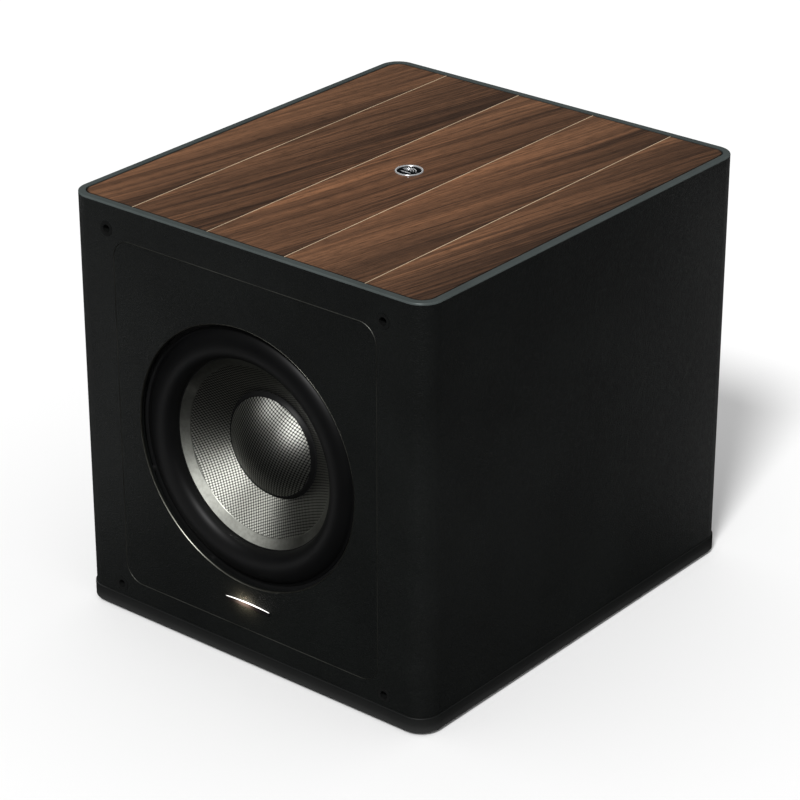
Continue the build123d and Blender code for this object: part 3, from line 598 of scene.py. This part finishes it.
def make_spider():
    """Corrugated cloth disc that centres the coil."""
    low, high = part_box("spider")
    inner, outer = 25.9, (high[0] - low[0]) / 2 * MM - 0.1
    rest_depth = (middle("spider", 1) - FRONT) * MM
    swing = 0.62 * ((high[1] - low[1]) / 2 * MM - 0.2)
    waves, half_thick, steps = 6.0, 0.18, 96
    front, back = [], []
    for i in range(steps + 1):
        share = i / steps
        r = inner + (outer - inner) * share
        swell = min(1.0, share / 0.10, (1 - share) / 0.14)
        d = rest_depth + swell * swing * math.sin(2 * math.pi * waves * share)
        front.append((r, d - half_thick))
        back.append((r, d + half_thick))
    obj = lathe("spider_disc", front + back[::-1], None, MATERIALS["spider_cloth"],
                "spider", segments=128, sharp=60.0)
    ride_across(obj, 0.071, 0.031)


def make_cutout_trim():
    """Bevelled edge of the driver opening."""
    profile = [(121.0, 0.0), (120.85, -0.12), (120.6, -0.14), (120.4, -0.06), (119.8, 0.70),
               (119.75, 0.90), (119.75, 1.40), (121.0, 1.40)]
    lathe("cutout_trim", profile, "cabinet", trim_mat, sharp=60.0)


# ---- pieces of the front, the top and the amplifier ----
def make_light_bar():
    """A dark bar with an arched top, and a thin bright guide that follows the arch."""
    bar_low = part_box("light_bar")[0]
    lens_low, lens_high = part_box("light_lens")
    half = lens_high[0] - 0.0002
    front, back = bar_low[1], FRONT
    foot = bar_low[2]

    def crest(x):
        return lens_low[2] + 0.00035 + 0.00115 * (1 - (x / half) ** 2)

    lens_rings, bar_rings = [], []
    for i in range(61):
        a = math.pi * i / 60
        x = -half * math.cos(a)
        round_end = math.sqrt(max(0.0, 1 - (abs(x) / half) ** 24))
        tall = (0.00028 + 0.00008 * (1 - (x / half) ** 2)) * max(round_end, 0.15)
        deep = 0.00050 * max(round_end, 0.3)
        lens_y = (front + back) / 2 - 0.00005
        lens_rings.append([(x, lens_y + deep * math.cos(b), crest(x) + tall * math.sin(b))
                           for b in (2 * math.pi * k / 14 for k in range(14))])
        top = crest(x) - tall * 0.8
        low = foot + 0.0006 * (1 - round_end)
        face = front + 0.00015
        bar_rings.append([(x, back + 0.0004, low), (x, face + 0.0004, low),
                          (x, face + 0.0001, low + 0.00015), (x, face, low + 0.0005),
                          (x, face, top - 0.0003), (x, face + 0.0002, top), (x, back + 0.0004, top)])
    finish_piece(loft("light_guide", lens_rings), MATERIALS["lens"], ("light_lens",), 60.0)
    finish_piece(loft("light_bar_body", bar_rings), MATERIALS["bar_body"], ("light_bar",))


def make_panel_bead():
    """Slim metal line that closes the seam round the front panel."""
    panel_low, panel_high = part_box("front_panel")
    half_seam = 0.00025
    half_w = (panel_high[0] - panel_low[0]) / 2 + half_seam
    half_h = (panel_high[2] - panel_low[2]) / 2 + half_seam
    mid = middle("front_panel", 2)
    radius = 0.01825
    rings = []
    for cx, cz, start in ((1, 1, 0), (-1, 1, 90), (-1, -1, 180), (1, -1, 270)):
        for i in range(13):
            a = math.radians(start + 90 * i / 12)
            out = (math.cos(a), math.sin(a))
            px = cx * (half_w - radius) + out[0] * radius
            pz = mid + cz * (half_h - radius) + out[1] * radius
            ring = []
            for w, d in ((-0.00042, 0.0003), (-0.00038, -0.00004), (-0.0002, -0.00020),
                         (0.0, -0.00025), (0.0002, -0.00020), (0.00038, -0.00004), (0.00042, 0.0003)):
                ring.append((px + out[0] * w, FRONT + d, pz + out[1] * w))
            rings.append(ring)
    finish_piece(loft("panel_bead", rings, closed=True), bead_mat)


def make_badge_ring():
    low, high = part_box("badge_ring")
    cx, cy = middle("badge_ring", 0), middle("badge_ring", 1)
    outer = (high[0] - low[0]) / 2
    base, top = low[2], high[2]
    # in mm: how far in from the outer edge, how far below the top
    rounding = ((0.0, 0.6), (0.18, 0.22), (0.55, 0.03), (0.85, 0.0), (1.05, 0.06), (1.3, 0.30), (1.9, 1.0))
    profile = [(outer, base)] + [(outer - inset / MM, top - drop / MM) for inset, drop in rounding]
    profile.append((outer - rounding[-1][0] / MM, base))
    rings = turn_rings(profile, 128, lambda u, v, h: (cx + u, cy + v, h))
    finish_piece(loft("badge_ring_turned", rings, closed=True), ring_mat, ("badge_ring",), 50.0)


def make_badge_motif():
    """Three nested arches over a short bar, raised and rounded."""
    low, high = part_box("badge_motif")
    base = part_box("badge_disc")[1][2]
    top = high[2] - 0.0001

    def strip(points, width):
        rings = []
        for i, (x, y) in enumerate(points):
            ax, ay = points[max(i - 1, 0)]
            bx, by = points[min(i + 1, len(points) - 1)]
            length = math.hypot(bx - ax, by - ay)
            nx, ny = -(by - ay) / length, (bx - ax) / length
            share = i / (len(points) - 1)
            w = width * (0.35 + 0.65 * math.sin(math.pi * share) ** 0.5)
            rings.append([(x + nx * w * k, y + ny * w * k, base + (top - base) * z)
                          for k, z in ((-1.0, -0.2), (-0.9, 0.5), (-0.55, 0.9), (0.0, 1.0),
                                       (0.55, 0.9), (0.9, 0.5), (1.0, -0.2))])
        return rings

    paths, pieces = [], []
    for radius in (0.0072, 0.0050, 0.0028):
        arch = [math.radians(14 + 152 * i / 24) for i in range(25)]
        paths.append(([(radius * math.cos(a), radius * math.sin(a) - 0.0018) for a in arch], 0.00048))
    paths.append(([(x / 1000, -0.0046) for x in np.linspace(-5.4, 5.4, 13)], 0.00055))
    for k, (points, width) in enumerate(paths):
        piece = loft("badge_stroke_%d" % (k + 1), strip(points, width))
        finish_piece(piece, ring_mat, ("badge_motif",), 60.0)
        pieces.append(piece)
    return pieces


def make_scale(name, knob):
    """Eleven printed marks round a knob."""
    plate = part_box("amp_plate")[1][1]
    cx, cz = middle(knob, 0), middle(knob, 2)
    verts, faces = [], []
    for k in range(11):
        a = math.radians(-60 + 30 * k)
        out, side = (math.cos(a), math.sin(a)), (-math.sin(a), math.cos(a))
        near, far = 0.0108, 0.0128 if k % 5 == 0 else 0.0121
        start = len(verts)
        for depth in (-0.00005, 0.00010):
            for reach, half in ((near, -0.00022), (far, -0.00022), (far, 0.00022), (near, 0.00022)):
                verts.append((cx + out[0] * reach + side[0] * half, plate + depth,
                              cz + out[1] * reach + side[1] * half))
        for face in ((0, 1, 2, 3), (7, 6, 5, 4), (0, 4, 5, 1), (1, 5, 6, 2), (2, 6, 7, 3),
                     (3, 7, 4, 0)):
            faces.append(tuple(start + n for n in face))
    finish_piece(new_mesh(name, verts, faces), MATERIALS["slider_plastic"])


def make_pointer(name, knob):
    """White line let into the groove of a knob; it turns with the knob."""
    knob_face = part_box(knob)[1][1]
    cx, cz = middle(knob, 0), middle(knob, 2)
    half, back, face = 0.00042, knob_face - 0.0005, knob_face - 0.00012
    ring = [(-half, back), (half, back), (half, face - 0.0001), (0.00032, face), (-0.00032, face),
            (-half, face - 0.0001)]
    rings = [[(cx + x, y, cz + z) for x, y in ring] for z in (0.0027, 0.0040, 0.0055, 0.0070, 0.0082)]
    finish_piece(loft(name, rings), MATERIALS["slider_plastic"], body=knob)


def make_clamp_bolt():
    """Socket-head bolt in the middle of the fins, which holds the transformer."""
    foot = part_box("amp_plate")[1][1]
    profile = [(0.0043, 0.0), (0.0043, 0.0060), (0.0041, 0.0065), (0.0037, 0.0067), (0.0024, 0.0067),
               (0.0022, 0.0065), (0.0021, 0.0048), (0.00005, 0.0047)]
    rings = turn_rings(profile, 48, lambda u, v, d: (u, foot + d, BOLT_Z + v))
    finish_piece(loft("clamp_bolt_head", rings, closed=True), MATERIALS["steel"])


# ---- materials of the pieces ----
leather_mat = leather("leather", (0.86, 1.08, 0.99))
rubber_mat = satin("rubber_surround", (0.0021, 0.0022, 0.0024), 0.47, 1400.0, 0.00002, specular=0.22)
cone_mat = weave("woven_cone", math.radians(27), 0.0022, (0.60, 0.605, 0.55), (0.026, 0.026, 0.023),
                 0.27)
cap_mat = weave("woven_cap", math.radians(-25), 0.0025, (0.66, 0.67, 0.62), (0.008, 0.008, 0.007),
                0.27)
band_mat = brushed("cone_band", (0.36, 0.365, 0.33), 0.36, (300, 300, 300), 0.00001, 1.0)

ring_mat = brushed("badge_chrome", (0.86, 0.87, 0.88), 0.24, (700, 700, 700), 0.000004, 0.68)
bead_mat = brushed("bead_metal", (0.280, 0.283, 0.255), 0.42, (500, 500, 500), 0.000006)
trim_mat = brushed("trim_metal", (0.150, 0.150, 0.130), 0.36, (500, 500, 500), 0.000006)

MATERIALS = {
    "leather": leather_mat,
    "rim_paint": satin("rim_paint", (0.078, 0.093, 0.091), 0.36, 1600.0, 0.00002, metallic=0.25),
    "plinth_paint": plinth_paint("plinth_paint"),
    "mdf": fibreboard("fibreboard"),
    "walnut": walnut("walnut"),
    "inlay_wood": satin("inlay_wood", (0.54, 0.410, 0.270), 0.45, 2400.0, 0.00002, vary=0.18),
    "chrome": brushed("chrome", (0.78, 0.79, 0.80), 0.14, (700, 700, 700), 0.000004),
    "enamel": satin("enamel", (0.004, 0.0045, 0.005), 0.30, 300.0, 0.000004, specular=0.12),
    "rubber": satin("rubber", (0.012, 0.012, 0.013), 0.60, 1200.0, 0.00006),
    "steel": brushed("zinc_steel", (0.42, 0.42, 0.43), 0.34, (600, 600, 600)),
    "motor_steel": satin("motor_steel", (0.035, 0.036, 0.038), 0.40, 1200.0, 0.00004, metallic=0.6),
    "ferrite": satin("ferrite", (0.045, 0.045, 0.047), 0.55, 1800.0, 0.00008),
    "cast_frame": satin("cast_frame", (0.0050, 0.0052, 0.0054), 0.50, 2200.0, 0.0001),
    "woven_cone": cone_mat,
    "cone_band": band_mat,
    "former": brushed("former_foil", (0.60, 0.60, 0.61), 0.30),
    "copper": brushed("copper_wire", (0.62, 0.27, 0.11), 0.30, (30, 2600, 30)),
    "spider_cloth": cloth("spider_cloth", (0.50, 0.34, 0.12), 240.0),
    "felt": cloth("felt", (0.52, 0.52, 0.50), 90.0),
    "lens": glow("light_lens"),
    "bar_body": satin("bar_body", (0.010, 0.010, 0.011), 0.30, 600.0, 0.00001, metallic=0.5),
    "socket_plastic": satin("socket_plastic", (0.0060, 0.0064, 0.0062), 0.42, 1400.0, 0.00004),
    "amp_panel": brushed("amp_panel", (0.030, 0.031, 0.033), 0.42, (1800, 60, 40), 0.00002, 0.7),
    "sink": brushed("heat_sink", (0.028, 0.029, 0.031), 0.40, (60, 60, 40), 0.00001, 0.7),
    "knob": satin("knob", (0.016, 0.016, 0.017), 0.50, 1500.0, 0.00004),
    "pot_metal": brushed("pot_metal", (0.48, 0.48, 0.48), 0.36),
    "switch_plastic": satin("switch_plastic", (0.045, 0.045, 0.045), 0.50),
    "slider_plastic": satin("slider_plastic", (0.62, 0.62, 0.60), 0.45),
    "nickel": brushed("nickel", (0.68, 0.65, 0.58), 0.22, (40, 1800, 40)),
    "rca_core": two_tone("rca_core", (0.42, 0.02, 0.02), (0.66, 0.66, 0.63), RCA_SPLIT_X, 0.38),
    "inlet_plastic": satin("inlet_plastic", (0.020, 0.020, 0.021), 0.48, 1400.0, 0.00006),
    "pin_brass": brushed("pin_brass", (0.66, 0.64, 0.56), 0.28),
    "rocker_plastic": satin("rocker_plastic", (0.014, 0.014, 0.014), 0.42),
    "led_plastic": satin("led_plastic", (0.06, 0.32, 0.09), 0.22, coat=0.5),
    "board": satin("board", (0.020, 0.105, 0.040), 0.38, vary=0.2),
    "can": satin("can", (0.035, 0.055, 0.11), 0.34, coat=0.3),
    "winding_tape": satin("winding_tape", (0.46, 0.30, 0.08), 0.45, vary=0.2),
}

for part in frame["record"]["subparts"]:
    if part["node"] in nodes:
        paint(part["node"], MATERIALS[part["material_slot"]])

paint("driver_screws", satin("black_screws", (0.006, 0.006, 0.006), 0.5, 900.0, 0.00002))
paint("front_panel", leather("panel_leather", (0.70, 0.92, 0.83)))
paint("back_panel", satin("sealed_board", (0.011, 0.011, 0.011), 0.6, 900.0, 0.00006))

make_surround()
make_spider()
make_cone()
make_band()
make_cap()
make_light_bar()
make_panel_bead()
make_cutout_trim()
make_badge_ring()
badge_pieces = make_badge_motif()
make_clamp_bolt()

for knob in ("volume", "crossover"):
    make_scale(knob + "_scale", knob + "_knob")
    make_pointer(knob + "_pointer", knob + "_knob")

# ---- stage ----
corners = [(x * FLOOR_REACH, y * FLOOR_REACH, 0) for x, y in ((-1, -1), (1, -1), (1, 1), (-1, 1))]
floor = new_mesh("floor", corners, [(0, 1, 2, 3)])
floor_mat, tree, shader = material("floor")
put(tree, shader, Base_Color=(0.875, 0.875, 0.875), Roughness=0.9, Specular_IOR_Level=0.1)
floor.data.materials.append(floor_mat)
floor.visible_glossy = False

world = bpy.data.worlds.new("studio")
world.use_nodes = True
scene.world = world
tree = world.node_tree
tree.nodes.clear()
rays = tree.nodes.new("ShaderNodeLightPath").outputs
rest, fill, seen = [add(tree, "Background", {"Color": (1, 1, 1, 1), "Strength": strength}).outputs[0]
                    for strength in (WORLD_REST, WORLD_FILL, WORLD_SEEN)]
unseen = add(tree, "MixShader", {0: rays["Is Diffuse Ray"], 1: rest, 2: fill}).outputs[0]
sky = add(tree, "MixShader", {0: rays["Is Camera Ray"], 1: unseen, 2: seen}).outputs[0]
end = tree.nodes.new("ShaderNodeOutputWorld")
tree.links.new(sky, end.inputs[0])

add_camera()
add_sun("key", (-0.24, 0.62, -0.75), 2.5, 11)

# ---- small lamps, each kept to its pieces ----
made = bpy.data.objects
cone_pieces = [o for o in scene.objects if o.type == "MESH" and o.name.startswith(
    ("cone_weave", "cone_band", "dust_cap", "cutout_trim"))]
roll_pieces = [made["surround_rubber"]]
leather_pieces = [nodes["leather_wrap"], nodes["front_panel"]]
badge_pieces += [made["badge_ring_turned"]]
bar_pieces = [nodes["front_panel"], made["light_bar_body"]]
side_pieces = [nodes["leather_wrap"]]
left_pieces = [nodes["leather_wrap"], nodes["base_plinth"]]
rear_pieces = [nodes[name] for name in (
    "leather_wrap", "back_panel", "amp_plate", "amp_gasket", "amp_screws", "heat_sink", "volume_knob",
    "crossover_knob", "phase_slider", "standby_slider", "switch_bodies", "rca_shells",
    "rca_insulators", "mains_inlet", "fuse_drawer", "rocker_bezel", "power_rocker", "inlet_pins",
    "status_led")]
rear_pieces += [made[name] for name in (
    "volume_scale", "crossover_scale", "volume_pointer", "crossover_pointer", "clamp_bolt_head")]
lens_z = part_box("light_lens")[0][2] + 0.0008
halo_at, halo_aim = (-0.004, FRONT - 0.0065, lens_z), (-0.004, FRONT, lens_z)

# name, place, aim, (width, height), power, pieces, met by diffuse rays
for row in (
        ("front_softbox", (0.25, -2.6, 0.62), DRIVER, (1.2, 1.2), 12.0, cone_pieces, False),
        ("driver_key", (0.75, -1.80, 2.0), DRIVER, (1.0, 1.0), 3.5, cone_pieces, False),
        ("driver_left", (-1.15, -2.10, 1.20), DRIVER, (1.1, 1.1), 5.0, cone_pieces, False),
        ("roll_light", (-0.20, -0.39, 0.040), DRIVER, (0.12, 0.06), 0.032, roll_pieces, False),
        ("roll_light_high", (-0.13, -0.47, 0.12), DRIVER, (0.12, 0.08), 0.030, roll_pieces, False),
        ("left_strip", (-0.35, -0.35, 0.13), (-0.19, -0.22, 0.17), (0.06, 0.34), 0.105,
         leather_pieces, False),
        ("right_strip", (0.235, 0.280, 0.165), (0.195, 0.20, 0.165), (0.04, 0.39), 0.042,
         leather_pieces, False),
        ("badge_kicker", (-1.254, 1.54, 1.34), (0, 0, 0.394), (0.50, 0.50), 1.2, badge_pieces, False),
        ("bar_halo", halo_at, halo_aim, (0.014, 0.002), 0.034, bar_pieces, True),
        ("side_low", (0.46, 0.02, 0.03), (0.195, 0.02, 0.10), (0.40, 0.03), 0.07, side_pieces, True),
        ("left_fill", (-2.2, 0, 0.75), (-0.2, 0, 0.2), (0.36, 1.2), 12.0, left_pieces, True),
        ("rear_fill", (0, 2.0, 0.75), (0, 0.2, 0.2), (0.36, 1.2), 16.0, rear_pieces, True)):
    add_area(*row)
made["bar_halo"].data.color = (1.0, 0.70, 0.50)
made["bar_halo"].visible_glossy = False
